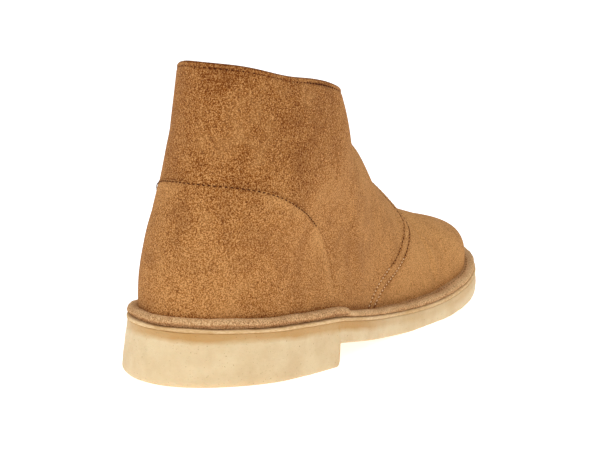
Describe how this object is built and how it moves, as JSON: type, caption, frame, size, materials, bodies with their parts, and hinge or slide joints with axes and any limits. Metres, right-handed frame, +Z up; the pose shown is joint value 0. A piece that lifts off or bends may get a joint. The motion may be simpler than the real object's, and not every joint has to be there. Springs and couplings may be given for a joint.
{
  "type": "chukka boot",
  "caption": "Ankle-high suede lace-up boot on a crepe sole with a stacked heel: hollow upper turned out and sewn to the midsole, heel counter, tongue and insole.",
  "frame": {"origin": "on the floor, under the middle of the boot's length and width", "axes": "+Y forward to the toe, +Z up, +X to the outer (lateral) side of this right-foot boot"},
  "size_m": [0.1038, 0.2968, 0.1454],
  "materials": {
    "suede": "tan napped suede, matt, with soft lighter and darker patches",
    "insole_leather": "smooth undyed leather, slightly satin",
    "midsole_leather": "pale cut leather board edge",
    "crepe": "natural crepe rubber, cream with an amber band, slightly rough cut edge",
    "lace_cotton": "round woven cotton lace"
  },
  "bodies": {
    "root": {"upper": "suede", "heel_counter": "suede", "tongue": "suede", "insole": "insole_leather", "midsole": "midsole_leather", "outsole": "crepe", "heel": "crepe", "lace_lower": "lace_cotton", "lace_upper": "lace_cotton"}
  },
  "joints": []
}
